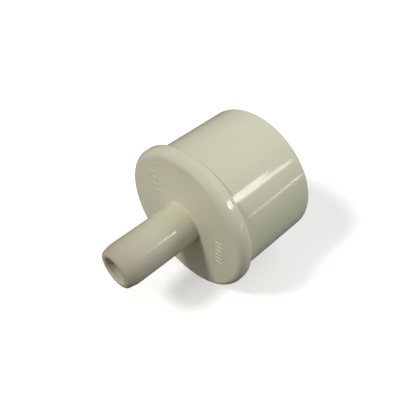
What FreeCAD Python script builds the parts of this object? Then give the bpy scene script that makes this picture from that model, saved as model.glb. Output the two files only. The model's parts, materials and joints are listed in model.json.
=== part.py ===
import FreeCAD, Part
import os
import re
import Sketcher

# Plug-in pneumatic exhaust muffler: a 32.6 mm moulded barrel on a 10 mm hose spigot.
# Frame: +Z up, flow axis along Y, spigot to -Y, exhaust to +Y. The origin is on the axis,
# in the plane of the collar's front face, where the spigot leaves it.
# Air goes through the spigot into the perforated tube, out through the felt rings, past the
# rim of the inner baffle, through the middle of the outer baffle, the last felt, the gauze
# and the grille.

DRIVING_SIZES = {
    # inlet cap, outside
    "spigot_radius": 5.0,
    "spigot_bore": 3.0,
    "spigot_length": 19.1,
    "tip_length": 2.45,
    "tip_radius": 4.5,
    "tip_rounding": 0.8,
    "tip_blend": 1.5,
    "bore_rounding": 0.45,
    "root_rounding": 0.45,
    "collar_radius": 17.7,
    "collar_thickness": 3.9,
    "collar_front_rounding": 1.65,
    "collar_rear_rounding": 1.45,
    # inlet cap, inside
    "wall_thickness": 2.3,
    "skirt_radius": 13.9,
    "skirt_bore": 11.7,
    "skirt_end": 8.4,
    "skirt_chamfer": 0.3,
    "groove_radius": 12.7,
    "groove_start": 5.2,
    "groove_width": 2.1,
    "boss_radius": 6.0,
    "boss_end": 4.6,
    "socket_floor": 1.2,
    # sleeve
    "sleeve_radius": 16.3,
    "sleeve_bore": 14.0,
    "sleeve_end": 24.2,
    "sleeve_lead_in": 0.5,
    "sleeve_rear_rounding": 0.75,
    "shoulder_bore": 13.0,
    "shoulder_start": 15.9,
    "shoulder_width": 1.0,
    "ring_groove_radius": 14.7,
    "ring_groove_start": 21.55,
    "ring_groove_width": 1.3,
    # cap seal
    "seal_width": 1.65,
    "seal_rounding": 0.55,
    "seal_gap": 0.05,
    # diffuser
    "tube_radius": 4.5,
    "tube_bore": 3.6,
    "tube_end": 12.5,
    "tube_hole_radius": 0.75,
    "tube_first_row": 5.5,
    "tube_row_pitch": 1.8,
    "sock_thickness": 0.25,
    "plug_flange": 0.55,
    "plug_stub": 2.2,
    "plug_nose": 2.0,
    "plug_nose_radius": 0.7,
    "insert_radius": 1.6,
    "insert_length": 2.5,
    # felts
    "felt_gap": 0.05,
    "felt_bore": 4.9,
    "inner_felt_radius": 11.55,
    "outer_felt_radius": 13.6,
    "front_felt_end": 5.15,
    "skirt_felt_end": 8.2,
    "stack_felt_start": 8.45,
    "stack_felt_thickness": 2.25,
    "exhaust_felt_thickness": 1.7,
    # baffles
    "inner_baffle_start": 13.05,
    "inner_baffle_thickness": 1.2,
    "inner_baffle_radius": 13.8,
    "inner_baffle_hole": 1.1,
    "inner_baffle_hole_circle": 11.0,
    "outer_baffle_thickness": 1.0,
    "outer_baffle_hole": 1.2,
    "outer_baffle_hole_circle": 4.2,
    "rear_disc_radius": 13.85,
    # clamping screw, M2
    "screw_radius": 1.0,
    "screw_length": 4.0,
    "screw_clearance": 1.1,
    "head_radius": 2.0,
    "head_height": 1.6,
    "head_rounding": 0.8,
    "recess_length": 2.2,
    "recess_width": 0.5,
    "recess_depth": 0.9,
    "washer_radius": 2.5,
    "washer_thickness": 0.3,
    "lock_washer_radius": 2.2,
    "lock_washer_bore": 1.05,
    "lock_washer_thickness": 0.5,
    "lock_washer_slit": 0.35,
    # gauze and grille
    "gauze_thickness": 0.3,
    "grille_thickness": 1.5,
    "grille_rib": 1.0,
    "grille_inner_start": 4.0,
    "grille_inner_end": 7.4,
    "grille_outer_start": 8.4,
    "grille_outer_end": 12.2,
    "grille_inner_count": 10,
    "grille_outer_count": 18,
    # retaining ring, for a 28 mm bore
    "ring_radius": 14.65,
    "ring_thickness": 1.2,
    "ring_inner_radius": 12.75,
    "ring_offset": 0.55,
    "ring_gap": 2.6,
    "lug_radius": 1.9,
    "lug_circle": 12.3,
    "lug_hole": 0.9,
    "lug_spread": 14.0,
}

FIT_GAP = 0.02           # between pressed pieces of the same body
TUBE_HOLES_AROUND = 8
TUBE_ROWS = 3
INNER_BAFFLE_HOLES = 14
OUTER_BAFFLE_HOLES = 6

doc = FreeCAD.newDocument("muffler")
sheet = doc.addObject("Spreadsheet::Sheet", "Sizes")
for row, (alias, number) in enumerate(DRIVING_SIZES.items(), start=1):
    sheet.set(f"A{row}", str(number))
    sheet.setAlias(f"A{row}", alias)
doc.recompute()

pieces = []


def bound(expression):
    """The expression with each of the sheet's names written as Sizes.name."""
    def full_name(match):
        word = match.group(0)
        return f"Sizes.{word}" if word in DRIVING_SIZES else word
    return re.sub(r"[A-Za-z_]\w*", full_name, expression)


def value(expression):
    """The number that an expression in the sheet's names gives now."""
    return float(sheet.evalExpression(bound(expression)))


def new_body(label, y="0"):
    """An empty body whose own origin stands at y on the flow axis."""
    body = doc.addObject("PartDesign::Body", label)
    body.Label = label
    body.setExpression("Placement.Base.y", bound(y))
    pieces.append(body)
    return body


def origin_feature(body, role):
    return next(item for item in body.Origin.OriginFeatures if item.Role == role)


def new_sketch(body, name, role):
    sketch = body.newObject("Sketcher::SketchObject", name)
    sketch.AttachmentSupport = (origin_feature(body, role), [""])
    sketch.MapMode = "FlatFace"
    return sketch


def pin_point(sketch, edge, end, point):
    """Bind an edge's end to a pair of expressions, (across, up)."""
    for kind, expression in zip(("DistanceX", "DistanceY"), point):
        distance = Sketcher.Constraint(kind, -1, 1, edge, end, value(expression))
        index = sketch.addConstraint(distance)
        sketch.setExpression(f"Constraints[{index}]", bound(expression))


def draw_outline(sketch, points):
    """A closed outline of straight lines through points given as expressions."""
    first = sketch.GeometryCount
    count = len(points)
    corners = [FreeCAD.Vector(value(across), value(up), 0) for across, up in points]
    for index in range(count):
        sketch.addGeometry(Part.LineSegment(corners[index], corners[(index + 1) % count]), False)
    for index in range(count):
        following = first + (index + 1) % count
        sketch.addConstraint(Sketcher.Constraint("Coincident", first + index, 2, following, 1))
        pin_point(sketch, first + index, 1, points[index])


def draw_circle(sketch, radius, across="0", up="0"):
    centre = FreeCAD.Vector(value(across), value(up), 0)
    circle = Part.Circle(centre, FreeCAD.Vector(0, 0, 1), value(radius))
    edge = sketch.addGeometry(circle, False)
    index = sketch.addConstraint(Sketcher.Constraint("Radius", edge, value(radius)))
    sketch.setExpression(f"Constraints[{index}]", bound(radius))
    pin_point(sketch, edge, 3, (across, up))


def turned(label, y, points):
    """A body turned about the flow axis from (radius, y) points, with its origin at y."""
    body = new_body(label, y)
    sketch = new_sketch(body, label + "_outline", "XY_Plane")
    draw_outline(sketch, points)
    turn = body.newObject("PartDesign::Revolution", label + "_turn")
    turn.Profile = sketch
    turn.ReferenceAxis = (sketch, ["V_Axis"])
    turn.Angle = 360
    doc.recompute()
    return body


def turned_ring(label, y, bore, radius, thickness):
    """A plain ring or, with a bore of 0, a plain disc."""
    return turned(label, y, [(bore, "0"), (radius, "0"), (radius, thickness), (bore, thickness)])


def circle_edges(shape, circles):
    """Names of the full-circle edges with the given (radius, y), in the body's own frame."""
    names = []
    for radius, y in circles:
        for number, edge in enumerate(shape.Edges, start=1):
            curve = edge.Curve
            if not isinstance(curve, Part.Circle):
                continue
            if abs(curve.Radius - value(radius)) < 1e-4 and abs(curve.Center.y - value(y)) < 1e-4:
                names.append(f"Edge{number}")
    return names


def rounded(body, radius, circles):
    """Fillet the body's circular edges at the given (radius, y)."""
    fillet = body.newObject("PartDesign::Fillet", body.Label + "_rounding")
    base = fillet.BaseFeature
    names = circle_edges(base.Shape, circles)
    if len(names) != len(circles):
        raise RuntimeError(f"{body.Label}: {len(names)} of {len(circles)} edges found to round")
    fillet.Base = (base, names)
    fillet.setExpression("Radius", bound(radius))
    doc.recompute()


def bevelled(body, size, circles):
    """Chamfer the body's circular edges at the given (radius, y)."""
    chamfer = body.newObject("PartDesign::Chamfer", body.Label + "_chamfer")
    base = chamfer.BaseFeature
    names = circle_edges(base.Shape, circles)
    if len(names) != len(circles):
        raise RuntimeError(f"{body.Label}: {len(names)} of {len(circles)} edges found to bevel")
    chamfer.Base = (base, names)
    chamfer.setExpression("Size", bound(size))
    doc.recompute()


def patterned(body, feature, count):
    """Repeat a feature evenly about the flow axis."""
    pattern = body.newObject("PartDesign::PolarPattern", feature.Label + "_pattern")
    pattern.Originals = [feature]
    pattern.Axis = (origin_feature(body, "Y_Axis"), [""])
    pattern.Angle = 360
    pattern.Occurrences = int(count)
    body.Tip = pattern
    doc.recompute()


def cut_through(body, sketch, count, sides):
    """Pocket a sketch right through and repeat it about the flow axis.

    "Symmetric" cuts both ways from the sketch, "One side" only to the back of it.
    """
    pocket = body.newObject("PartDesign::Pocket", sketch.Label + "_cut")
    pocket.Profile = sketch
    pocket.Type = "ThroughAll"
    pocket.SideType = sides
    doc.recompute()
    patterned(body, pocket, count)


def axial_holes(body, name, radius, circle, count):
    """Round holes along the flow axis, evenly spaced on a circle."""
    sketch = new_sketch(body, name, "XZ_Plane")
    draw_circle(sketch, radius, circle)
    cut_through(body, sketch, count, "Symmetric")


# ---------------------------------------------------------------- inlet cap

def make_inlet_cap():
    cap = turned("inlet_cap", "0", [
        ("spigot_bore", "-spigot_length"),
        ("tip_radius", "-spigot_length"),
        ("spigot_radius", "tip_length - spigot_length"),
        ("spigot_radius", "0"),
        ("collar_radius", "0"),
        ("collar_radius", "collar_thickness"),
        ("skirt_radius", "collar_thickness"),
        ("skirt_radius", "groove_start"),
        ("groove_radius", "groove_start"),
        ("groove_radius", "groove_start + groove_width"),
        ("skirt_radius", "groove_start + groove_width"),
        ("skirt_radius", "skirt_end"),
        ("skirt_bore", "skirt_end"),
        ("skirt_bore", "wall_thickness"),
        ("boss_radius", "wall_thickness"),
        ("boss_radius", "boss_end"),
        (f"tube_radius + {FIT_GAP}", "boss_end"),
        (f"tube_radius + {FIT_GAP}", "socket_floor"),
        ("spigot_bore", "socket_floor"),
    ])
    rounded(cap, "collar_front_rounding", [("collar_radius", "0")])
    rounded(cap, "collar_rear_rounding", [("collar_radius", "collar_thickness")])
    rounded(cap, "root_rounding", [("spigot_radius", "0")])
    rounded(cap, "tip_blend", [("spigot_radius", "tip_length - spigot_length")])
    rounded(cap, "tip_rounding", [("tip_radius", "-spigot_length")])
    rounded(cap, "bore_rounding", [("spigot_bore", "-spigot_length")])
    bevelled(cap, "skirt_chamfer", [("skirt_radius", "skirt_end")])
    return cap


# ---------------------------------------------------------------- sleeve

def make_sleeve():
    rear = "sleeve_end - collar_thickness"
    shoulder = "shoulder_start - collar_thickness"
    groove = "ring_groove_start - collar_thickness"
    sleeve = turned("sleeve", "collar_thickness", [
        ("sleeve_bore", "0"),
        ("sleeve_radius", "0"),
        ("sleeve_radius", rear),
        ("sleeve_bore", rear),
        ("sleeve_bore", groove + " + ring_groove_width"),
        ("ring_groove_radius", groove + " + ring_groove_width"),
        ("ring_groove_radius", groove),
        ("sleeve_bore", groove),
        ("sleeve_bore", shoulder + " + shoulder_width"),
        ("shoulder_bore", shoulder + " + shoulder_width"),
        ("shoulder_bore", shoulder),
        ("sleeve_bore", shoulder),
    ])
    rounded(sleeve, "sleeve_rear_rounding", [("sleeve_radius", rear)])
    bevelled(sleeve, "sleeve_lead_in", [("sleeve_bore", "0"), ("sleeve_bore", rear)])
    return sleeve


def make_cap_o_ring():
    bore = f"groove_radius + {FIT_GAP}"
    radius = "sleeve_bore - seal_gap"
    place = "groove_start + (groove_width - seal_width) / 2"
    seal = turned_ring("cap_o_ring", place, bore, radius, "seal_width")
    corners = [(bore, "0"), (radius, "0"), (radius, "seal_width"), (bore, "seal_width")]
    rounded(seal, "seal_rounding", corners)
    return seal


# ---------------------------------------------------------------- diffuser

def make_diffuser_tube():
    length = "tube_end - socket_floor"
    tube = turned_ring("diffuser_tube", "socket_floor", "tube_bore", "tube_radius", length)
    for row in range(TUBE_ROWS):
        sketch = new_sketch(tube, f"tube_hole_{row + 1}", "XY_Plane")
        height = f"tube_first_row + {row} * tube_row_pitch - socket_floor"
        draw_circle(sketch, "tube_hole_radius", "0", height)
        # Every other row is turned half a step about the flow axis.
        half_step = 180 / TUBE_HOLES_AROUND * (row % 2)
        turn = FreeCAD.Rotation(FreeCAD.Vector(0, 1, 0), half_step)
        sketch.AttachmentOffset = FreeCAD.Placement(FreeCAD.Vector(), turn)
        cut_through(tube, sketch, TUBE_HOLES_AROUND, "One side")
    return tube


def make_diffuser_sock():
    start = "boss_end + felt_gap"
    bore = f"tube_radius + {FIT_GAP}"
    length = "tube_end - boss_end - 2 * felt_gap"
    return turned_ring("diffuser_sock", start, bore, bore + " + sock_thickness", length)


def make_diffuser_end_plug():
    """Origin in the plane where its flange meets the tube's end."""
    stub = f"tube_bore - {FIT_GAP}"
    pocket = f"insert_radius + {FIT_GAP}"
    floor = f"plug_flange - insert_length - {FIT_GAP}"
    plug = turned("diffuser_end_plug", "tube_end", [
        ("0", "-plug_stub - plug_nose"),
        ("plug_nose_radius", "-plug_stub - plug_nose"),
        (stub, "-plug_stub"),
        (stub, "0"),
        ("tube_radius", "0"),
        ("tube_radius", "plug_flange"),
        (pocket, "plug_flange"),
        (pocket, floor),
        ("0", floor),
    ])
    rounded(plug, "plug_nose_radius * 0.8", [("plug_nose_radius", "-plug_stub - plug_nose")])
    return plug


def make_screw_insert():
    start = "tube_end + plug_flange - insert_length"
    bore = f"screw_radius + {FIT_GAP}"
    return turned_ring("screw_insert", start, bore, "insert_radius", "insert_length")


# ---------------------------------------------------------------- felts

def make_felts():
    turned_ring("front_felt_ring", "wall_thickness + felt_gap", "boss_radius + 3 * felt_gap",
                "inner_felt_radius", "front_felt_end - wall_thickness - felt_gap")
    turned_ring("absorber_ring_1", "front_felt_end + felt_gap", "felt_bore",
                "inner_felt_radius", "skirt_felt_end - front_felt_end - felt_gap")
    for number in range(2):
        start = f"stack_felt_start + {number} * (stack_felt_thickness + felt_gap)"
        turned_ring(f"absorber_ring_{number + 2}", start, "felt_bore",
                    "outer_felt_radius", "stack_felt_thickness")


# ---------------------------------------------------------------- clamping stack

INNER_BAFFLE_END = "inner_baffle_start + inner_baffle_thickness"
WASHER_END = INNER_BAFFLE_END + " + washer_thickness"
HEAD_SEAT = WASHER_END + " + lock_washer_thickness"


def make_inner_baffle():
    baffle = turned_ring("inner_baffle", "inner_baffle_start", "screw_clearance",
                         "inner_baffle_radius", "inner_baffle_thickness")
    axial_holes(baffle, "inner_baffle_hole", "inner_baffle_hole", "inner_baffle_hole_circle",
                INNER_BAFFLE_HOLES)
    return baffle


def make_washers():
    turned_ring("plain_washer", INNER_BAFFLE_END, "screw_clearance", "washer_radius",
                "washer_thickness")
    lock = turned_ring("lock_washer", WASHER_END, "lock_washer_bore", "lock_washer_radius",
                       "lock_washer_thickness")
    # The split, cut on the skew through one side of the ring.
    half = "lock_washer_slit / 2"
    slit = new_sketch(lock, "lock_washer_split", "XY_Plane")
    draw_outline(slit, [
        ("-0.15 - " + half, "-lock_washer_thickness"),
        ("-0.15 + " + half, "-lock_washer_thickness"),
        ("0.15 + " + half, "2 * lock_washer_thickness"),
        ("0.15 - " + half, "2 * lock_washer_thickness"),
    ])
    pocket = lock.newObject("PartDesign::Pocket", "lock_washer_split_cut")
    pocket.Profile = slit
    pocket.Type = "Length"
    pocket.setExpression("Length", bound("2 * lock_washer_radius"))
    doc.recompute()


def make_stack_screw():
    """Origin under the head. The shank points to -Y."""
    screw = turned("stack_screw", HEAD_SEAT, [
        ("0", "-screw_length"),
        ("screw_radius", "-screw_length"),
        ("screw_radius", "0"),
        ("head_radius", "0"),
        ("head_radius", "head_height"),
        ("0", "head_height"),
    ])
    rounded(screw, "head_rounding", [("head_radius", "head_height")])
    bevelled(screw, "screw_radius * 0.2", [("screw_radius", "-screw_length")])
    # Cross recess: one slot, and the same slot a quarter turn on.
    recess = new_sketch(screw, "screw_recess", "XY_Plane")
    draw_outline(recess, [
        ("-recess_length / 2", "head_height - recess_depth"),
        ("recess_length / 2", "head_height - recess_depth"),
        ("recess_length / 2", "head_height * 2"),
        ("-recess_length / 2", "head_height * 2"),
    ])
    slot = screw.newObject("PartDesign::Pocket", "screw_recess_cut")
    slot.Profile = recess
    slot.Type = "Length"
    slot.SideType = "Symmetric"
    slot.setExpression("Length", bound("recess_width"))
    doc.recompute()
    patterned(screw, slot, 4)
    return screw


# ---------------------------------------------------------------- exhaust end

SHOULDER_END = "shoulder_start + shoulder_width"
EXHAUST_FELT = SHOULDER_END + " + outer_baffle_thickness + felt_gap"
GAUZE = EXHAUST_FELT + " + exhaust_felt_thickness + felt_gap"
GRILLE = GAUZE + " + gauze_thickness + felt_gap"
RING = "ring_groove_start + (ring_groove_width - ring_thickness) / 2"


def make_outer_baffle():
    baffle = turned_ring("outer_baffle", SHOULDER_END, "outer_baffle_hole",
                         "rear_disc_radius", "outer_baffle_thickness")
    axial_holes(baffle, "outer_baffle_hole", "outer_baffle_hole", "outer_baffle_hole_circle",
                OUTER_BAFFLE_HOLES)
    return baffle


def grille_corner(radius, count, side):
    """A corner of a grille opening, half a rib's width from the middle of the rib."""
    angle = f"(180 / {count} - asin(grille_rib / (2 * {radius})) / 1deg) * 1deg"
    return (f"{radius} * cos({angle})", f"{side} * {radius} * sin({angle})")


def draw_grille_opening(sketch, start, end, count):
    """One opening between two ribs: two straight sides, joined by two arcs."""
    corners = [
        grille_corner(start, count, -1),
        grille_corner(end, count, -1),
        grille_corner(end, count, 1),
        grille_corner(start, count, 1),
    ]
    places = [FreeCAD.Vector(value(across), value(up), 0) for across, up in corners]
    sketch.addGeometry(Part.LineSegment(places[0], places[1]), False)
    outside = FreeCAD.Vector(value(end), 0, 0)
    sketch.addGeometry(Part.Arc(places[1], outside, places[2]), False)
    sketch.addGeometry(Part.LineSegment(places[2], places[3]), False)
    inside = FreeCAD.Vector(value(start), 0, 0)
    sketch.addGeometry(Part.Arc(places[0], inside, places[3]), False)


def make_exhaust_grille():
    grille = turned("exhaust_grille", GRILLE, [
        ("0", "0"),
        ("rear_disc_radius", "0"),
        ("rear_disc_radius", "grille_thickness"),
        ("0", "grille_thickness"),
    ])
    rings = [
        ("grille_inner_start", "grille_inner_end", "grille_inner_count"),
        ("grille_outer_start", "grille_outer_end", "grille_outer_count"),
    ]
    for start, end, count in rings:
        sketch = new_sketch(grille, start.replace("_start", "_opening"), "XZ_Plane")
        draw_grille_opening(sketch, start, end, count)
        cut_through(grille, sketch, value(count), "Symmetric")
    return grille


def make_retaining_ring():
    """Internal circlip, its gap and lugs at the bottom. Drawn about Z, then laid along Y."""
    def cylinder(name, radius, across="0", up="0"):
        solid = doc.addObject("Part::Cylinder", name)
        solid.setExpression("Radius", bound(radius))
        solid.setExpression("Height", bound("ring_thickness"))
        solid.setExpression("Placement.Base.x", bound(across))
        solid.setExpression("Placement.Base.y", bound(up))
        return solid

    disc = cylinder("ring_disc", "ring_radius")
    opening = cylinder("ring_opening", "ring_inner_radius", up="ring_offset")
    hoop = doc.addObject("Part::Cut", "ring_hoop")
    hoop.Base = disc
    hoop.Tool = opening

    lugs = []
    holes = []
    for side in (-1, 1):
        across = f"{side} * lug_circle * sin(lug_spread * 1deg)"
        up = "lug_circle * cos(lug_spread * 1deg)"
        lugs.append(cylinder(f"ring_lug_{side + 2}", "lug_radius", across, up))
        holes.append(cylinder(f"ring_lug_hole_{side + 2}", "lug_hole", across, up))
    body = doc.addObject("Part::MultiFuse", "ring_with_lugs")
    body.Shapes = [hoop] + lugs

    gap = doc.addObject("Part::Box", "ring_gap_cutter")
    gap.setExpression("Length", bound("ring_gap"))
    gap.setExpression("Width", bound("ring_radius"))
    gap.setExpression("Height", bound("ring_thickness"))
    gap.setExpression("Placement.Base.x", bound("-ring_gap / 2"))
    cutters = doc.addObject("Part::MultiFuse", "ring_cutters")
    cutters.Shapes = [gap] + holes

    ring = doc.addObject("Part::Cut", "retaining_ring")
    ring.Label = "retaining_ring"
    ring.Base = body
    ring.Tool = cutters
    laid = FreeCAD.Rotation(FreeCAD.Vector(1, 0, 0), -90)
    ring.Placement = FreeCAD.Placement(FreeCAD.Vector(), laid)
    ring.setExpression("Placement.Base.y", bound(RING))
    pieces.append(ring)
    doc.recompute()
    return ring


make_inlet_cap()
make_cap_o_ring()
make_sleeve()
make_diffuser_tube()
make_diffuser_sock()
make_diffuser_end_plug()
make_screw_insert()
make_felts()
make_inner_baffle()
make_washers()
make_stack_screw()
make_outer_baffle()
turned_ring("felt_disc", EXHAUST_FELT, "0", "rear_disc_radius - felt_gap",
            "exhaust_felt_thickness")
turned_ring("gauze_disc", GAUZE, "0", "rear_disc_radius", "gauze_thickness")
make_exhaust_grille()
make_retaining_ring()
doc.recompute()

# ---------------------------------------------------------------- checks and files

for item in doc.Objects:
    if "Invalid" in item.State or "Error" in item.State:
        raise RuntimeError(f"{item.Label} failed: {item.State}")
    if item.TypeId in ("PartDesign::Pocket", "PartDesign::PolarPattern"):
        removed = item.BaseFeature.Shape.Volume - item.Shape.Volume
        if removed < 1e-3:
            raise RuntimeError(f"{item.Label} cuts nothing")

for piece in pieces:
    shape = piece.Shape
    if shape.isNull() or not shape.isValid() or len(shape.Solids) != 1:
        raise RuntimeError(f"{piece.Label} is not one valid solid")

os.makedirs("parts", exist_ok=True)
for piece in pieces:
    piece.Shape.exportStep(f"parts/{piece.Label}.step")
    box = piece.Shape.BoundBox
    print(f"{piece.Label:20s} volume {piece.Shape.Volume:9.2f}  y {box.YMin:7.2f} to {box.YMax:6.2f}"
          f"  x {box.XMin:7.2f} to {box.XMax:6.2f}  z {box.ZMin:7.2f} to {box.ZMax:6.2f}")
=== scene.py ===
import json
import math

import bmesh
import bpy
import numpy as np
from mathutils import Matrix, Vector, noise


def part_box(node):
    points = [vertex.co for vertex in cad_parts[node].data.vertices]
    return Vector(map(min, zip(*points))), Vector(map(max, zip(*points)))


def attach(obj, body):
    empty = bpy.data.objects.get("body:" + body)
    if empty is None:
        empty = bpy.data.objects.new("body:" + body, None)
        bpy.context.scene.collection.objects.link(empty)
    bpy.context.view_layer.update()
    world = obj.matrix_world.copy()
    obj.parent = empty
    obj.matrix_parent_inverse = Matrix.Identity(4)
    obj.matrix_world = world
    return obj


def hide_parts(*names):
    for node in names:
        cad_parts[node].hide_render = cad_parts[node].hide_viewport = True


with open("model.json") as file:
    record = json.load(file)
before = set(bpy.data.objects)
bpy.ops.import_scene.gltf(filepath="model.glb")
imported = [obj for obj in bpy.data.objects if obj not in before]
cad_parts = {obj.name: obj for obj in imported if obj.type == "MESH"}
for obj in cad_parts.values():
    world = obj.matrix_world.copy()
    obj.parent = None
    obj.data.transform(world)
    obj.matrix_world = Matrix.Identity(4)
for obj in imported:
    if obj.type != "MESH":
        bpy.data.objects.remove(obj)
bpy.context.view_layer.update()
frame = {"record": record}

# The looks of a plug-in pneumatic exhaust muffler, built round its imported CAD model.
# Everything is in metres in the frame's axes: the flow axis is Y, with the spigot to -Y.
# Sizes are written in millimetres and scaled by MM.

MM = 0.001
TURN = 2 * math.pi
ROUND_STEPS = 256                # points round a large turned piece
SMALL_ROUND_STEPS = 96           # points round a small one
SHARP_ANGLE = math.radians(32)   # an edge sharper than this is shaded sharp
SLIVER = 0.002 * MM              # edges shorter than this are dissolved after a cut
FLAT = 0.9999                    # a normal's share along Y, above which its face is square to Y
ON_AXIS = 1e-6                   # a radius below this, in millimetres, is on the flow axis


# ---------------------------------------------------------------- places taken from the frame

def low_high(node, axis):
    """A node's lowest and highest coordinate along an axis, in millimetres."""
    low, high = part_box(node)
    return low[axis] / MM, high[axis] / MM


X, Y = 0, 1
TIP_Y = low_high("inlet_cap", Y)[0]
SKIRT_END = low_high("inlet_cap", Y)[1]
COLLAR_RADIUS = low_high("inlet_cap", X)[1]
SLEEVE_START, SLEEVE_END = low_high("sleeve", Y)
SLEEVE_RADIUS = low_high("sleeve", X)[1]
PULL_OFF = frame["record"]["behaviour"]["joints"][0]["range_m"][1] / MM
TUBE_START, TUBE_END = low_high("diffuser_tube", Y)
TUBE_RADIUS = low_high("diffuser_tube", X)[1]

# Sizes that a box doesn't give, as in the CAD model, in millimetres.
COLLAR_REAR_ROUNDING = 1.45
SLEEVE_REAR_ROUNDING = 0.75
TUBE_BORE = 3.6
FELT_BORE = 4.9
FIT_GAP = 0.02
SPIGOT_RADIUS = 5.0
SPIGOT_BORE = 3.0
ROOT_ROUNDING = 0.45
BORE_ROUNDING = 0.45
TIP_LENGTH = 2.45
TIP_RADIUS = 4.5
TIP_ROUNDING = 0.8
TIP_BLEND = 4.0
COLLAR_FRONT_ROUNDING = 1.65
SKIRT_RADIUS = 13.9
SKIRT_BORE = 11.7
SKIRT_GROOVE_RADIUS = 12.7
SKIRT_GROOVE = (5.2, 7.3)
WALL_THICKNESS = 2.3
BOSS_RADIUS = 6.0
BOSS_END = 4.6
SOCKET_RADIUS = 4.52
SLEEVE_BORE = 14.0
SHOULDER_BORE = 13.0
SHOULDER = (15.9, 16.9)
RING_GROOVE_RADIUS = 14.7
RING_GROOVE = (21.55, 22.85)

# Camera and lights. The target is in millimetres, and the key's direction points to the light.
CAMERA_AZIMUTH = math.radians(43.98)
CAMERA_ELEVATION = math.radians(48.52)
CAMERA_ROLL = math.radians(2.54)
CAMERA_DISTANCE = 112.0
CAMERA_TARGET = (-0.03, 5.19, 3.32)
CAMERA_LENS = 45.32
KEY_DIRECTION = (-0.29, -0.58, 0.76)
KEY_SPREAD = math.radians(12)
KEY_STRENGTH = 1.38
KEY_TINT = (1.01, 0.99, 0.98)
# Azimuth from +X towards +Y, elevation, strength and tint of each soft glow in the room.
SOFT_GLOWS = (
    (45, 5, 0.50, (1.00, 1.01, 1.03)),
    (248, 5, 0.46, (1.07, 0.97, 0.92)),
    (90, 28, 0.86, (1.00, 1.01, 1.02)),
    (0, 78, 0.12, (1.02, 1.00, 0.96)),
)
GLOW_FALL = 3.5    # a glow falls as exp(GLOW_FALL * (cosine - 1)) away from its direction
# Name, one end and the other as (turn about the flow axis in degrees, share along +Y), width in
# degrees, radiance and colour of each window.
WINDOWS = (
    ("window", (40.7, 0.44), (40.2, 0.595), 10.5, 8.5, (1.0, 0.98, 0.90)),
    ("window_far", (37.2, 0.595), (36.2, 0.68), 4.0, 7.5, (1.0, 0.98, 0.90)),
    ("thin_window", (4.7, 0.485), (4.6, 0.68), 1.8, 7.5, (0.80, 0.86, 1.0)),
    ("thin_window_far", (4.6, 0.60), (4.6, 0.69), 1.8, 2.5, (0.80, 0.86, 1.0)),
    ("front_window", (125.0, -0.80), (92.0, -0.90), 14.0, 1.6, (1.0, 0.98, 0.95)),
)
# Lights that only show as reflections: a glint on the spigot and the collar, and the pale
# table to the left, which the flat face mirrors on its left half.
GLINTS = (
    ("window_low", (40.0, 0.392), (40.0, 0.42), 4.0, 330.0, (1.0, 0.98, 0.94)),
    ("table_sheen", (200.0, -0.42), (238.5, -0.45), 34.0, 0.32, (1.0, 0.98, 0.95)),
)
WINDOW_DISTANCE = 2000
FLOOR_GLOW = 0.42


# ---------------------------------------------------------------- mesh helpers

def rounded_outline(corners, steps=8):
    """A closed outline from (radius, y, rounding) corners: each corner with a rounding is an arc."""
    points = []
    count = len(corners)
    for index, (radius, y, rounding) in enumerate(corners):
        here = Vector((radius, y))
        before = Vector(corners[index - 1][:2]) - here
        after = Vector(corners[(index + 1) % count][:2]) - here
        if rounding <= 0 or before.length < 1e-9 or after.length < 1e-9:
            points.append(here)
            continue
        before_way = before.normalized()
        after_way = after.normalized()
        half = before_way.angle(after_way) / 2
        reach = rounding / math.tan(half)
        room = 0.48 * min(before.length, after.length)
        size = rounding * min(1.0, room / reach)
        reach = size / math.tan(half)
        start = here + before_way * reach
        end = here + after_way * reach
        middle = here + (before_way + after_way).normalized() * (size / math.sin(half))
        start_arm = start - middle
        sweep = start_arm.angle_signed(end - middle)
        for step in range(steps + 1):
            angle = sweep * step / steps
            turned = Matrix.Rotation(-angle, 2) @ start_arm
            points.append(middle + turned)
    return [(point.x, point.y) for point in points]


def new_mesh(name, vertices, faces):
    mesh = bpy.data.meshes.new(name)
    mesh.from_pydata([tuple(v) for v in vertices], [], faces)
    mesh.validate()
    shape = bmesh.new()
    shape.from_mesh(mesh)
    bmesh.ops.remove_doubles(shape, verts=shape.verts, dist=1e-8)
    bmesh.ops.recalc_face_normals(shape, faces=shape.faces)
    shape.to_mesh(mesh)
    shape.free()
    piece = bpy.data.objects.new(name, mesh)
    bpy.context.scene.collection.objects.link(piece)
    return piece


def smooth(piece, angle=SHARP_ANGLE):
    piece.data.shade_smooth()
    piece.data.set_sharp_from_angle(angle=angle)
    return piece


def flat_ends(piece):
    """Shade the faces square to the flow axis flat, up to the rounded edges round them."""
    for face in piece.data.polygons:
        if abs(face.normal.y) > FLAT:
            face.use_smooth = False
    return piece


def turned_vertices(outline, steps):
    """Rings of points about the Y axis, one ring for each outline point, in metres."""
    angles = np.arange(steps) * TURN / steps
    rings = []
    for radius, y in outline:
        ring = np.stack([radius * np.cos(angles), np.full(steps, y), radius * np.sin(angles)], 1)
        rings.append(ring * MM)
    return np.concatenate(rings)


def resampled(outline, spacing):
    """The closed outline with points added, so that none is more than spacing from the next."""
    points = []
    for index, (radius, y) in enumerate(outline):
        next_radius, next_y = outline[(index + 1) % len(outline)]
        length = math.hypot(next_radius - radius, next_y - y)
        on_axis = radius < ON_AXIS and next_radius < ON_AXIS
        count = 1 if on_axis else max(1, math.ceil(length / spacing))
        for step in range(count):
            share = step / count
            points.append((radius + (next_radius - radius) * share, y + (next_y - y) * share))
    return points


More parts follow.
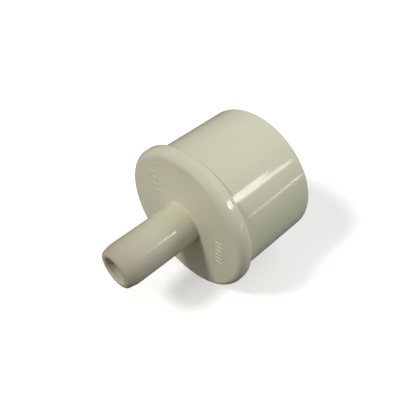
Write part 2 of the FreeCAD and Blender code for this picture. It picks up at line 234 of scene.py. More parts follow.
def turned(name, corners, steps=ROUND_STEPS, arc_steps=8, spacing=None, reshape=None):
    """A closed outline of (radius, y, rounding) corners in millimetres, turned about the Y axis.

    spacing adds points along the outline, and reshape(angle, radius, y) gives each a new radius.
    """
    outline = rounded_outline(corners, arc_steps)
    if spacing:
        outline = resampled(outline, spacing)
    vertices = turned_vertices(outline, steps)
    if reshape:
        for index, (radius, y) in enumerate(outline):
            for step in range(steps):
                angle = step * TURN / steps
                share = reshape(angle, radius, y) / radius if radius > ON_AXIS else 1
                vertices[index * steps + step, 0] *= share
                vertices[index * steps + step, 2] *= share
    count = len(outline)
    faces = []
    for ring in range(count):
        following = (ring + 1) % count
        if outline[ring][0] < ON_AXIS and outline[following][0] < ON_AXIS:
            continue
        for step in range(steps):
            side = (step + 1) % steps
            faces.append((ring * steps + step, ring * steps + side,
                          following * steps + side, following * steps + step))
    piece = new_mesh(name, vertices, faces)
    return smooth(piece)


def circle_points(radius, count, centre=(0.0, 0.0)):
    angles = np.arange(count) * TURN / count
    return [(centre[0] + radius * math.cos(a), centre[1] + radius * math.sin(a)) for a in angles]


def plate(name, outlines, start, thickness, rounding):
    """A flat plate across the flow axis with rounded edges.

    outlines are closed lists of (x, z) points in millimetres: the outside first, then the
    holes. The plate goes from y = start to start + thickness.
    """
    curve = bpy.data.curves.new(name, "CURVE")
    curve.dimensions = "2D"
    curve.fill_mode = "BOTH"
    curve.extrude = (thickness / 2 - rounding) * MM
    curve.bevel_depth = rounding * MM
    curve.bevel_resolution = 2
    curve.offset = -rounding * MM
    for points in outlines:
        spline = curve.splines.new("POLY")
        spline.points.add(len(points) - 1)
        for point, (x, z) in zip(spline.points, points):
            point.co = (x * MM, z * MM, 0, 1)
        spline.use_cyclic_u = True
    source = bpy.data.objects.new(name + "_curve", curve)
    bpy.context.scene.collection.objects.link(source)
    bpy.context.view_layer.update()
    graph = bpy.context.evaluated_depsgraph_get()
    mesh = bpy.data.meshes.new_from_object(source.evaluated_get(graph))
    bpy.data.objects.remove(source)
    bpy.data.curves.remove(curve)
    mesh.name = name
    mesh.transform(Matrix.Rotation(math.radians(90), 4, "X"))
    mesh.transform(Matrix.Translation((0, (start + thickness / 2) * MM, 0)))
    shape = bmesh.new()
    shape.from_mesh(mesh)
    bmesh.ops.remove_doubles(shape, verts=shape.verts, dist=1e-7)
    bmesh.ops.recalc_face_normals(shape, faces=shape.faces)
    shape.to_mesh(mesh)
    shape.free()
    piece = bpy.data.objects.new(name, mesh)
    bpy.context.scene.collection.objects.link(piece)
    return smooth(piece)


def tube_along(path, radius, sides, closed=False):
    """Vertices and faces of a tube that follows path, an array of points in metres.

    A closed path's tube is a ring, and an open one's has flat ends.
    """
    path = np.asarray(path, float)
    if closed:
        ahead = np.roll(path, -1, 0) - np.roll(path, 1, 0)
    else:
        ahead = np.gradient(path, axis=0)
    ahead /= np.linalg.norm(ahead, axis=1)[:, None]
    helper = np.array([0.0, 1.0, 0.0])
    if abs(ahead[:, 1]).max() > 0.9:
        along_x = abs(ahead[:, 0]).max() >= 0.9
        helper = np.array([0.0, 0.0, 1.0]) if along_x else np.array([1.0, 0.0, 0.0])
    across = np.cross(ahead, helper)
    across /= np.linalg.norm(across, axis=1)[:, None]
    upward = np.cross(ahead, across)
    angles = np.arange(sides) * TURN / sides
    rings = (path[:, None, :]
             + radius * np.cos(angles)[None, :, None] * across[:, None, :]
             + radius * np.sin(angles)[None, :, None] * upward[:, None, :])
    vertices = rings.reshape(-1, 3)
    faces = []
    last = len(path) if closed else len(path) - 1
    for ring in range(last):
        following = (ring + 1) % len(path)
        for side in range(sides):
            other = (side + 1) % sides
            faces.append((ring * sides + side, ring * sides + other,
                          following * sides + other, following * sides + side))
    if not closed:
        faces.append(tuple(range(sides))[::-1])
        faces.append(tuple((len(path) - 1) * sides + side for side in range(sides)))
    return vertices, faces


def tubes(name, paths, radius, sides, closed=False):
    """One piece made of many separate tubes."""
    all_vertices = []
    all_faces = []
    first = 0
    for path in paths:
        vertices, faces = tube_along(path, radius, sides, closed)
        all_vertices.append(vertices)
        all_faces += [tuple(first + index for index in face) for face in faces]
        first += len(vertices)
    mesh = bpy.data.meshes.new(name)
    mesh.from_pydata(np.concatenate(all_vertices).tolist(), [], all_faces)
    piece = bpy.data.objects.new(name, mesh)
    bpy.context.scene.collection.objects.link(piece)
    mesh.shade_smooth()
    return piece


def joined(base, others):
    """Join other pieces into base, as parts of the same moulding or pressing."""
    shape = bmesh.new()
    shape.from_mesh(base.data)
    for other in others:
        shape.from_mesh(other.data)
        bpy.data.objects.remove(other)
    shape.to_mesh(base.data)
    shape.free()
    return base


def cut(base, cutter):
    """Cut cutter out of base with an exact boolean, and remove it."""
    modifier = base.modifiers.new("cut", "BOOLEAN")
    modifier.operation = "DIFFERENCE"
    modifier.solver = "EXACT"
    modifier.object = cutter
    bpy.context.view_layer.update()
    graph = bpy.context.evaluated_depsgraph_get()
    mesh = bpy.data.meshes.new_from_object(base.evaluated_get(graph))
    base.modifiers.clear()
    old = base.data
    base.data = mesh
    bpy.data.meshes.remove(old)
    bpy.data.objects.remove(cutter)
    # A cut leaves slivers where it meets the rings of a turned shape.
    shape = bmesh.new()
    shape.from_mesh(mesh)
    bmesh.ops.dissolve_degenerate(shape, dist=SLIVER, edges=shape.edges)
    shape.to_mesh(mesh)
    shape.free()
    return smooth(base)


# ---------------------------------------------------------------- materials

class Shader:
    """A node material with a Principled shader and helpers for its texture nodes."""

    def __init__(self, name, **values):
        self.material = bpy.data.materials.new(name)
        self.material.use_nodes = True
        self.tree = self.material.node_tree
        self.surface = self.tree.nodes["Principled BSDF"]
        for socket, number in values.items():
            self.surface.inputs[socket.replace("_", " ")].default_value = number
        self.place = self.tree.nodes.new("ShaderNodeTexCoord").outputs["Object"]

    def node(self, kind, **settings):
        node = self.tree.nodes.new(kind)
        for key, setting in settings.items():
            setattr(node, key, setting)
        return node

    def link(self, output, target):
        self.tree.links.new(output, target)

    def noise(self, scale, detail=3.0, roughness=0.5, stretch=None):
        """A noise texture whose features are about 1 / scale metres across."""
        node = self.node("ShaderNodeTexNoise")
        node.inputs["Scale"].default_value = scale
        node.inputs["Detail"].default_value = detail
        node.inputs["Roughness"].default_value = roughness
        place = self.place
        if stretch:
            mapping = self.node("ShaderNodeMapping")
            mapping.inputs["Scale"].default_value = stretch
            self.link(place, mapping.inputs["Vector"])
            place = mapping.outputs["Vector"]
        self.link(place, node.inputs["Vector"])
        return node.outputs["Fac"]

    def ramp(self, factor, stops):
        """Colours or greys, as (position, colour) stops, looked up by factor."""
        node = self.node("ShaderNodeValToRGB")
        elements = node.color_ramp.elements
        while len(elements) < len(stops):
            elements.new(0.5)
        for element, (position, colour) in zip(elements, stops):
            element.position = position
            if not hasattr(colour, "__len__"):
                colour = (colour, colour, colour)
            element.color = (*colour, 1)
        self.link(factor, node.inputs["Fac"])
        return node.outputs["Color"]

    def share(self, value, start, end):
        """How far value, in metres, has gone from start to end, in millimetres: 0 to 1."""
        node = self.node("ShaderNodeMapRange")
        node.inputs["From Min"].default_value = start * MM
        node.inputs["From Max"].default_value = end * MM
        self.link(value, node.inputs["Value"])
        return node.outputs["Result"]

    def colour(self, factor, stops, painted_shade=None):
        """A base colour that follows factor, with painted shade of (places along Y, radii, tint)
        multiplied in.
        """
        colour = self.ramp(factor, stops)
        # Painted shade: the tint is multiplied into the colour along Y and out from the axis.
        if painted_shade:
            along, outward, tint = painted_shade
            parts = self.node("ShaderNodeSeparateXYZ")
            self.link(self.place, parts.inputs["Vector"])
            flat = self.node("ShaderNodeCombineXYZ")
            self.link(parts.outputs["X"], flat.inputs["X"])
            self.link(parts.outputs["Z"], flat.inputs["Z"])
            radius = self.node("ShaderNodeVectorMath", operation="LENGTH")
            self.link(flat.outputs["Vector"], radius.inputs[0])
            amount = self.node("ShaderNodeMath", operation="MULTIPLY")
            self.link(self.share(parts.outputs["Y"], *along), amount.inputs[0])
            self.link(self.share(radius.outputs["Value"], *outward), amount.inputs[1])
            mix = self.node("ShaderNodeMix", data_type="RGBA", blend_type="MULTIPLY")
            factor_socket, first, second = mix.inputs[0], mix.inputs[6], mix.inputs[7]
            self.link(amount.outputs["Value"], factor_socket)
            self.link(colour, first)
            second.default_value = (*tint, 1)
            colour = mix.outputs[2]
        self.link(colour, self.surface.inputs["Base Color"])
        return self

    def rough(self, factor, low, high):
        """Roughness that follows factor between 0.3 and 0.7 from low to high."""
        node = self.node("ShaderNodeMapRange")
        node.inputs["From Min"].default_value = 0.3
        node.inputs["From Max"].default_value = 0.7
        node.inputs["To Min"].default_value = low
        node.inputs["To Max"].default_value = high
        self.link(factor, node.inputs["Value"])
        self.link(node.outputs["Result"], self.surface.inputs["Roughness"])
        return self

    def bumps(self, *layers):
        """Bump from (factor, height in metres) layers, each on top of the last."""
        normal = None
        for factor, height in layers:
            node = self.node("ShaderNodeBump")
            node.inputs["Strength"].default_value = 1.0
            node.inputs["Distance"].default_value = height
            self.link(factor, node.inputs["Height"])
            if normal:
                self.link(normal, node.inputs["Normal"])
            normal = node.outputs["Normal"]
        self.link(normal, self.surface.inputs["Normal"])
        return self


def shell_plastic():
    """Glossy pale grey-green moulding plastic, a little wavy, as cooled from the mould."""
    shader = Shader("shell_plastic", IOR=1.49, Specular_IOR_Level=0.5)
    patches = shader.noise(90, detail=2)
    # Painted shade: the spigot is darker and browner towards its tip, where the close camera shades
    # it.
    shader.colour(patches, [(0.3, (0.775, 0.778, 0.580)), (0.7, (0.810, 0.808, 0.612))],
                  painted_shade=((-7.0, TIP_Y), (1.5, 4.3), (0.70, 0.64, 0.66)))
    shader.rough(shader.noise(700, detail=4), 0.08, 0.14)
    waves = shader.noise(260, detail=1)
    ripple = shader.noise(1100, detail=2, stretch=(1, 0.15, 1))
    grain = shader.noise(3500, detail=3)
    return shader.bumps((waves, 0.015 * MM), (ripple, 0.003 * MM), (grain, 0.001 * MM)).material


def inner_plastic():
    """Matt natural moulding, with the fine spark-eroded grain of a plain mould."""
    shader = Shader("inner_plastic", IOR=1.49)
    patches = shader.noise(160, detail=3)
    shader.colour(patches, [(0.3, (0.50, 0.49, 0.39)), (0.7, (0.56, 0.55, 0.44))])
    shader.rough(shader.noise(900, detail=4), 0.42, 0.58)
    grain = shader.noise(6000, detail=2)
    return shader.bumps((patches, 0.02 * MM), (grain, 0.006 * MM)).material


def grille_plastic():
    """Satin grey-green moulding."""
    shader = Shader("grille_plastic", IOR=1.49)
    patches = shader.noise(120, detail=3)
    shader.colour(patches, [(0.3, (0.44, 0.44, 0.34)), (0.7, (0.49, 0.49, 0.38))])
    shader.rough(shader.noise(900, detail=4), 0.30, 0.45)
    grain = shader.noise(5000, detail=2)
    return shader.bumps((patches, 0.02 * MM), (grain, 0.003 * MM)).material


def felt():
    """Pressed wool felt: pale, mottled, with a soft fibrous surface."""
    shader = Shader("felt", Roughness=0.95, Sheen_Weight=0.35, Sheen_Roughness=0.6)
    mottle = shader.noise(900, detail=5, roughness=0.65)
    shader.colour(mottle, [(0.28, (0.46, 0.42, 0.33)), (0.5, (0.66, 0.62, 0.52)),
                           (0.72, (0.78, 0.75, 0.66))])
    strands = shader.noise(2600, detail=6, roughness=0.75, stretch=(1.0, 3.0, 1.0))
    clumps = shader.noise(1200, detail=3)
    return shader.bumps((clumps, 0.10 * MM), (strands, 0.06 * MM)).material


def rubber():
    """Smooth black nitrile rubber with a trace of grease."""
    shader = Shader("seal_rubber", IOR=1.52)
    patches = shader.noise(500, detail=4)
    shader.colour(patches, [(0.3, (0.010, 0.010, 0.011)), (0.7, (0.022, 0.022, 0.023))])
    shader.rough(patches, 0.30, 0.55)
    return shader.bumps((shader.noise(3000, detail=3), 0.004 * MM)).material


def metal(name, low, high, rough):
    """A metal between two colours, with a finely marked surface."""
    shader = Shader(name, Metallic=1.0)
    marks = shader.noise(1500, detail=5, roughness=0.6)
    shader.colour(marks, [(0.3, low), (0.7, high)])
    shader.rough(marks, rough[0], rough[1])
    return shader.bumps((marks, 0.003 * MM)).material


MATERIALS = {
    "shell_plastic": shell_plastic(),
    "inner_plastic": inner_plastic(),
    "grille_plastic": grille_plastic(),
    "felt": felt(),
    "seal_rubber": rubber(),
    "stainless_wire": metal("stainless_wire", (0.42, 0.42, 0.41), (0.60, 0.60, 0.58), (0.22, 0.38)),
    "brass_insert": metal("brass_insert", (0.50, 0.33, 0.12), (0.66, 0.46, 0.19), (0.2, 0.36)),
    "plated_steel": metal("plated_steel", (0.52, 0.53, 0.54), (0.70, 0.71, 0.72), (0.18, 0.32)),
    "spring_steel": metal("spring_steel", (0.055, 0.055, 0.060), (0.115, 0.112, 0.110),
                          (0.32, 0.50)),
}
SLOTS = {row["node"]: row["material_slot"] for row in frame["record"]["subparts"]}
BODY_OF = {
    node: body
    for body, nodes in frame["record"]["behaviour"]["bodies"].items()
    for node in nodes
}


def stand_in(piece, node):
    """piece takes the place of a CAD node: its material slot, its body and its picture."""
    slot = SLOTS[node]
    piece.data.materials.clear()
    piece.data.materials.append(MATERIALS[slot])
    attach(piece, BODY_OF[node])
    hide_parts(node)
    return piece


# ---------------------------------------------------------------- inlet cap and sleeve

MARK_ROUNDING = 0.24


def raised_bar(centre, way):
    """A round-ended raised bar on the collar's front face, its length along the angle way."""
    length, width, height, sunk = 2.1, 0.6, 0.12, 0.4
    points = []
    steps = 8
    for end in (1, -1):
        for step in range(steps + 1):
            turn = math.pi * (step / steps - 0.5 * end)
            along = end * (length - width) / 2 + width / 2 * math.cos(turn)
            across = width / 2 * math.sin(turn)
            points.append((centre[0] + along * math.cos(way) - across * math.sin(way),
                           centre[1] + along * math.sin(way) + across * math.cos(way)))
    return plate("mark", [points], -height, height + sunk, MARK_ROUNDING)


def raised_row(start, end, count, lean):
    """Evenly spaced bars, each turned by lean degrees from a line on the collar's face."""
    start, end = Vector(start), Vector(end)
    across = end - start
    way = math.atan2(across.y, across.x) + math.radians(lean)
    return [raised_bar(start.lerp(end, number / (count - 1)), way) for number in range(count)]


def raised_dot(x, z):
    radius, height, sunk = 0.36, 0.14, 0.40
    return plate("mark", [circle_points(radius, 20, (x, z))], -height, height + sunk, MARK_ROUNDING)


def make_inlet_cap():
    cap = turned("inlet_cap_moulding", [
        (SPIGOT_BORE, TIP_Y, BORE_ROUNDING),
        (TIP_RADIUS, TIP_Y, TIP_ROUNDING),
        (SPIGOT_RADIUS, TIP_Y + TIP_LENGTH, TIP_BLEND),
        (SPIGOT_RADIUS, 0, ROOT_ROUNDING),
        (COLLAR_RADIUS, 0, COLLAR_FRONT_ROUNDING),
        (COLLAR_RADIUS, SLEEVE_START, COLLAR_REAR_ROUNDING),
        (SKIRT_RADIUS, SLEEVE_START, 0.0),
        (SKIRT_RADIUS, SKIRT_GROOVE[0], 0.1),
        (SKIRT_GROOVE_RADIUS, SKIRT_GROOVE[0], 0.1),
        (SKIRT_GROOVE_RADIUS, SKIRT_GROOVE[1], 0.1),
        (SKIRT_RADIUS, SKIRT_GROOVE[1], 0.1),
        (SKIRT_RADIUS, SKIRT_END, 0.35),
        (SKIRT_BORE, SKIRT_END, 0.2),
        (SKIRT_BORE, WALL_THICKNESS, 0.3),
        (BOSS_RADIUS, WALL_THICKNESS, 0.3),
        (BOSS_RADIUS, BOSS_END, 0.15),
        (SOCKET_RADIUS, BOSS_END, 0.1),
        (SOCKET_RADIUS, TUBE_START, 0.05),
        (SPIGOT_BORE, TUBE_START, 0.1),
    ], arc_steps=12)
    # Plain marks that spell nothing: a row of bars at the right, another at the left, and dots.
    marks = raised_row((10.9, 2.6), (11.45, -3.5), 6, 100)
    marks += raised_row((-9.9, 8.6), (-8.1, 4.0), 4, 85)
    for place in ((-5.2, 8.0), (-7.3, 3.7), (-11.5, 6.6), (-9.3, 11.2)):
        marks.append(raised_dot(*place))
    joined(cap, marks)
    smooth(cap)
    return stand_in(cap, "inlet_cap")


def make_sleeve():
    sleeve = turned("sleeve_moulding", [
        (SLEEVE_BORE, SLEEVE_START, 0.5),
        (SLEEVE_RADIUS, SLEEVE_START, 0.16),
        (SLEEVE_RADIUS, SLEEVE_END, SLEEVE_REAR_ROUNDING),
        (SLEEVE_BORE, SLEEVE_END, 0.6),
        (SLEEVE_BORE, RING_GROOVE[1], 0.08),
        (RING_GROOVE_RADIUS, RING_GROOVE[1], 0.08),
        (RING_GROOVE_RADIUS, RING_GROOVE[0], 0.08),
        (SLEEVE_BORE, RING_GROOVE[0], 0.08),
        (SLEEVE_BORE, SHOULDER[1], 0.1),
        (SHOULDER_BORE, SHOULDER[1], 0.1),
        (SHOULDER_BORE, SHOULDER[0], 0.1),
        (SLEEVE_BORE, SHOULDER[0], 0.1),
    ], arc_steps=10)
    return stand_in(sleeve, "sleeve")


def make_cap_o_ring():
    """Squeezed between its groove and the barrel, so its section is a little wider than high."""
    start, end = low_high("cap_o_ring", Y)
    inner = SKIRT_GROOVE_RADIUS + FIT_GAP
    outer = low_high("cap_o_ring", X)[1]
    ring = turned("cap_o_ring_seal", [
        (inner, start, 0.6),
        (outer, start, 0.6),
        (outer, end, 0.6),
        (inner, end, 0.6),
    ], arc_steps=12)
    return stand_in(ring, "cap_o_ring")


# ---------------------------------------------------------------- diffuser

def make_diffuser_tube():
    """Moulded tube with three rows of holes, the middle row turned half a step."""
    tube = turned("diffuser_tube_moulding", [
        (TUBE_BORE, TUBE_START, 0.1),
        (TUBE_RADIUS, TUBE_START, 0.2),
        (TUBE_RADIUS, TUBE_END, 0.1),
        (TUBE_BORE, TUBE_END, 0.1),
    ], SMALL_ROUND_STEPS)
    holes_around = 8
    first_row, row_pitch = 5.5, 1.8
    hole, reach = 0.75, 6
    drills = []
    for row in range(3):
        # Each drill goes right through, so it makes two holes.
        for number in range(holes_around // 2):
            angle = TURN * (number + 0.5 * (row % 2)) / holes_around
            outline = [(0, -reach, 0), (hole, -reach, 0), (hole, reach, 0), (0, reach, 0)]
            drill = turned("drill", outline, 24)
            drill.data.transform(Matrix.Rotation(math.radians(90), 4, "X"))
            drill.data.transform(Matrix.Rotation(angle, 4, "Y"))
            drill.data.transform(Matrix.Translation((0, (first_row + row_pitch * row) * MM, 0)))
            drills.append(drill)
    for drill in drills:
        cut(tube, drill)
    return stand_in(tube, "diffuser_tube")


def make_diffuser_sock():
    """Plain-woven wire sleeve: straight wires along the axis, hoops round it, two hems."""
    start, end = low_high("diffuser_sock", Y)
    outer = low_high("diffuser_sock", X)[1]
    inner = TUBE_RADIUS + FIT_GAP
    middle = (inner + outer) / 2
    wire = 0.12
    rise = (outer - inner - wire) / 2
    straight_count = 52
    hoop_count = 13
    hem = 0.4
    pitch = (end - start - 2 * hem) / hoop_count
    # The straight wires go over and under the hoops.
    paths = []
    y = np.linspace(start + hem / 2, end - hem / 2, hoop_count * 5)
    for number in range(straight_count):
        angle = TURN * number / straight_count
        over = 1 if number % 2 else -1
        radius = middle + rise * over * np.cos(math.pi * (y - start - hem) / pitch + math.pi / 2)
        paths.append(np.stack([radius * math.cos(angle), y, radius * math.sin(angle)], 1) * MM)
    sock = tubes("diffuser_sock_weave", paths, wire / 2 * MM, 5)
    angles = np.arange(straight_count * 4) * TURN / (straight_count * 4)
    hoops = []
    for number in range(hoop_count):
        over = 1 if number % 2 else -1
        radius = middle - rise * over * np.cos(angles * straight_count / 2)
        height = start + hem + (number + 0.5) * pitch
        ring = np.stack([radius * np.cos(angles), np.full(len(angles), height),
                         radius * np.sin(angles)], 1)
        hoops.append(ring * MM)
    parts = [tubes("hoops", hoops, wire / 2 * MM, 5, closed=True)]
    for low in (start, end - hem):
        parts.append(turned("hem", [
            (inner, low, 0.1), (outer, low, 0.1), (outer, low + hem, 0.1), (inner, low + hem, 0.1),
        ], SMALL_ROUND_STEPS))
    joined(sock, parts)
    return stand_in(sock, "diffuser_sock")


def make_diffuser_end_plug():
    """Cone-nosed plug with a flange on the tube's end and a pocket for the insert."""
    start, end = low_high("diffuser_end_plug", Y)
    nose, stub, pocket = 0.7, 3.58, 1.62
    stub_start, pocket_floor = 10.3, 10.53
    plug = turned("diffuser_end_plug_moulding", [
        (0, start, 0),
        (nose, start, 0.5),
        (stub, stub_start, 0.15),
        (stub, TUBE_END, 0.1),
        (TUBE_RADIUS, TUBE_END, 0.1),
        (TUBE_RADIUS, end, 0.15),
        (pocket, end, 0.1),
        (pocket, pocket_floor, 0.05),
        (0, pocket_floor, 0),
    ], SMALL_ROUND_STEPS)
    return stand_in(plug, "diffuser_end_plug")


def make_screw_insert():
    """Brass insert with two diamond-knurled bands and a plain neck between them."""
    start, end = low_high("screw_insert", Y)
    middle = (start + end) / 2
    bore, outer = 1.02, 1.6
    half_neck, neck_depth = 0.22, 0.18
    teeth, knurl_depth, knurl_lean = 20, 0.13, 0.9

    def knurl(angle, radius, y):
        if radius < outer - 0.1:
            return radius
        if abs(y - middle) < half_neck:
            return radius - neck_depth
        twist = (y - start) * knurl_lean
        one = 0.5 + 0.5 * math.cos(teeth * (angle + twist))
        other = 0.5 + 0.5 * math.cos(teeth * (angle - twist))
        return radius - knurl_depth * (1 - one * other)

    insert = turned("screw_insert_knurled", [
        (bore, start, 0.08), (outer, start, 0.12), (outer, end, 0.12), (bore, end, 0.08),
    ], 200, spacing=0.05, reshape=knurl)
    return stand_in(insert, "screw_insert")


# ---------------------------------------------------------------- felts

FIBRE_COUNT = 1400


def roughened(piece, layers, seed):
    """Push the surface inwards by noise, from (feature size, depth) layers in millimetres."""
    shift = Vector((3.7, 1.3, 2.9)) * seed
    moves = []
    for vertex in piece.data.vertices:
        place = vertex.co / MM
        depth = 0
        for feature, amount in layers:
            depth += amount * (0.5 + 0.5 * noise.noise(place / feature + shift))
        moves.append(vertex.co - vertex.normal * depth * MM)
    for vertex, move in zip(piece.data.vertices, moves):
        vertex.co = move
    piece.data.update()
    return piece


def folded_back(values, low, high):
    """Mirror values at both limits, so that they stay between them."""
    return high - np.abs(high - (low + np.abs(values - low)))


def fibres(piece, radii, ends, count, seed):
    """Loose wool ends: short bent strands over the surface, from 0.5 to 1.3 mm long.

    They are turned back where they would leave the felt's space, between its radii and ends.
    """
    draw = np.random.default_rng(seed)
    thickness = 0.044
    inner = radii[0] + thickness if radii[0] else 0
    outer = radii[1] - thickness
    vertices = piece.data.vertices
    paths = []
    for index in draw.integers(0, len(vertices), count):
        vertex = vertices[int(index)]
        normal = np.array(vertex.normal)
        side = np.cross(normal, draw.normal(size=3))
        side /= np.linalg.norm(side)
        bend = np.cross(normal, side) * draw.uniform(-0.6, 0.6)
        length = draw.uniform(0.5, 1.3)
        t = np.linspace(0, 1, 5)[:, None]
        lift = np.sin(t * math.pi * draw.uniform(0.5, 1.0)) * draw.uniform(0.04, 0.14) - 0.03
        path = np.array(vertex.co) / MM + side * t * length + bend * t ** 2 * length + normal * lift
        distance = np.hypot(path[:, 0], path[:, 2])
        path[:, [0, 2]] *= (folded_back(distance, inner, outer) / distance)[:, None]
        path[:, 1] = folded_back(path[:, 1], ends[0] + thickness, ends[1] - thickness)
        paths.append(path * MM)
    return joined(piece, [tubes("fibres", paths, thickness / 2 * MM, 3)])


def make_felt(node, inner, seed):
    """A die-cut felt: crisp where it was cut, slack and hairy on its faces."""
    start, end = low_high(node, Y)
    outer = low_high(node, X)[1]
    if inner:
        corners = [(outer, start, 0.35), (outer, end, 0.35), (inner, end, 0.3), (inner, start, 0.3)]
    else:
        corners = [(0, start, 0), (outer, start, 0.3), (outer, end, 0.3), (0, end, 0)]
    pad = turned(node + "_pad", corners, 220, arc_steps=4, spacing=0.25)
    roughened(pad, [(2.6, 0.10), (0.8, 0.08), (0.35, 0.05)], seed)
    fibres(pad, (inner, outer), (start, end), FIBRE_COUNT, seed)
    return stand_in(pad, node)


# ---------------------------------------------------------------- clamping stack

def make_baffle(node, hole, circle, holes):
    """A moulded disc with a hole in its middle and a ring of holes of the same radius."""
    start, end = low_high(node, Y)
    rounding = 0.14
    outlines = [circle_points(low_high(node, X)[1], ROUND_STEPS), circle_points(hole, 32)]
    for number in range(holes):
        angle = TURN * number / holes
        centre = (circle * math.cos(angle), circle * math.sin(angle))
        outlines.append(circle_points(hole, 32, centre))
    baffle = plate(node + "_moulding", outlines, start, end - start, rounding)
    return stand_in(flat_ends(baffle), node)


def make_plain_washer():
    """Blanked washer, rounded where the punch went in and sharper where it came out."""
    start, end = low_high("plain_washer", Y)
    bore, radius = 1.1, 2.5
    washer = turned("plain_washer_blanked", [
        (bore, start, 0.03), (radius, start, 0.08), (radius, end, 0.03), (bore, end, 0.08),
    ], SMALL_ROUND_STEPS)
    return stand_in(washer, "plain_washer")


def make_lock_washer():
    """One split turn of square wire."""
    start, end = low_high("lock_washer", Y)
    bore, radius, half_slit = 1.05, 2.2, 0.2
    points = []
    steps = 72
    for rim, way in ((radius, 1), (bore, -1)):
        edge = math.asin(half_slit / rim)
        for step in range(steps + 1):
            share = step / steps if way > 0 else 1 - step / steps
            angle = math.pi / 2 + edge + share * (TURN - 2 * edge)
            points.append((rim * math.cos(angle), rim * math.sin(angle)))
    lock = plate("lock_washer_coil", [points], start, end - start, 0.07)
    return stand_in(flat_ends(lock), "lock_washer")


def make_stack_screw():
    """M2 pan head screw with a rolled thread and a cross recess."""
    start, end = low_high("stack_screw", Y)
    seat = low_high("lock_washer", Y)[1]
    shank, head, head_rounding = 1.0, 2.0, 0.85
    thread_pitch, thread_depth, thread_end = 0.4, 0.2, seat - 0.25

    def thread(angle, radius, y):
        if radius < 0.6 * shank or y > thread_end:
            return radius
        phase = (y / thread_pitch - angle / TURN) % 1
        return radius - thread_depth * min(1.0, 2.4 * abs(phase - 0.5))

    screw = turned("stack_screw_turned", [
        (0, start, 0),
        (shank, start, 0.2),
        (shank, seat, 0.05),
        (head, seat, 0.1),
        (head, end, head_rounding),
        (0, end, 0),
    ], SMALL_ROUND_STEPS, spacing=0.06, reshape=thread)
    arm, half_width, depth = 1.1, 0.25, 0.9
    quarter = [(arm, -half_width), (arm, half_width), (half_width, half_width)]
    cross = []
    for _ in range(4):
        cross += quarter
        quarter = [(-z, x) for x, z in quarter]
    punch = plate("punch", [cross], end - depth, depth + 1, 0)
    cut(screw, punch)
    return stand_in(screw, "stack_screw")


# ---------------------------------------------------------------- exhaust end

def make_gauze():
    """Plain-woven wire cloth, cut to a disc."""
    start, end = low_high("gauze_disc", Y)
    edge_gap = 0.1
    radius = low_high("gauze_disc", X)[1] - edge_gap
    pitch = 0.62
    wire = (end - start) / 2
    middle = (start + end) / 2
    paths = []
    half = int(radius / pitch)
    for way in (0, 1):
        for row in range(-half, half + 1):
            across = row * pitch
            reach = math.sqrt(max(radius ** 2 - across ** 2, 0.2))
            along = np.linspace(-reach, reach, max(5, round(reach * 8 / pitch)))
            over = (1 if row % 2 else -1) * (1 if way else -1)
            height = middle + wire / 2 * over * np.cos(math.pi * along / pitch)
            flat = np.full(len(along), across)
            first, second = (along, flat) if way else (flat, along)
            paths.append(np.stack([first, height, second], 1) * MM)
    gauze = tubes("gauze_disc_weave", paths, wire * 0.48 * MM, 5)
    return stand_in(gauze, "gauze_disc")


def grille_opening(inner, outer, count, number):
    """A sector opening between two ribs of even width, with its corners rounded."""
    rib, rounding = 1.0, 0.3
    steps = 6
    points = []
    middle = TURN * number / count
    for radius, way in ((outer, 1), (inner, -1)):
        half = math.pi / count - math.asin(rib / (2 * radius))
        for step in range(steps + 1):
            share = way * (2 * step / steps - 1)
            angle = middle + half * share
            corner = rounding if step in (0, steps) else 0
            points.append((radius * math.cos(angle), radius * math.sin(angle), corner))
    return rounded_outline(points, 4)


def make_exhaust_grille():
    """Two rings of openings, and a dished middle with the stub of the moulding's gate in it."""
    start, end = low_high("exhaust_grille", Y)
    radius = low_high("exhaust_grille", X)[1]
    outlines = [circle_points(radius, ROUND_STEPS)]
    openings = ((4.0, 7.4, 10), (8.4, 12.2, 18))
    for inner, outer, count in openings:
        for number in range(count):
            outlines.append(grille_opening(inner, outer, count, number))
    grille = plate("exhaust_grille_moulding", outlines, start, end - start, 0.22)
    floor = end - 0.35
    dish = turned("dish", [
        (0, floor, 0), (2.4, floor, 0.3), (3.0, end + 1, 0), (0, end + 1, 0),
    ], 128)
    cut(grille, dish)
    root, top = end - 0.4, end - 0.12
    gate = turned("gate", [(0, root, 0), (0.6, root, 0), (0.5, top, 0.08), (0, top, 0)], 48)
    joined(grille, [gate])
    smooth(grille)
    return stand_in(flat_ends(grille), "exhaust_grille")


def make_retaining_ring():
    """Internal circlip: a hoop that thins towards its lugs, its gap at the bottom."""
    start, end = low_high("retaining_ring", Y)
    outer = low_high("retaining_ring", X)[1]
    inner, offset, half_gap = 12.75, 0.55, 1.3
    lug_circle, lug_radius, lug_hole = 12.3, 1.9, 0.9
    lug_angle = math.radians(14)

    def inner_edge(turn):
        """Distance from the axis to the hoop's inner edge, turn round from the bottom."""
        hoop = offset * math.cos(turn) + math.sqrt(inner ** 2 - (offset * math.sin(turn)) ** 2)
        away = abs(abs(turn) - lug_angle)
        side = lug_circle * math.sin(away)
        if side < lug_radius:
            lug = lug_circle * math.cos(away) - math.sqrt(lug_radius ** 2 - side ** 2)
            return min(hoop, lug)
        return hoop

    def edge_points(radius_at, steps, way):
        first = math.asin(half_gap / radius_at(0.1))
        rim = []
        for step in range(steps + 1):
            turn = first + (TURN - 2 * first) * step / steps
            turn = turn if turn <= math.pi else turn - TURN
            radius = radius_at(turn)
            rim.append((radius * math.sin(turn), -radius * math.cos(turn)))
        return rim[::way]

    outline = edge_points(lambda turn: outer, 240, 1) + edge_points(inner_edge, 480, -1)
    outlines = [outline]
    for side in (-1, 1):
        centre = (side * lug_circle * math.sin(lug_angle), -lug_circle * math.cos(lug_angle))
        outlines.append(circle_points(lug_hole, 32, centre))
    ring = plate("retaining_ring_stamping", outlines, start, end - start, 0.08)
    return stand_in(flat_ends(ring), "retaining_ring")


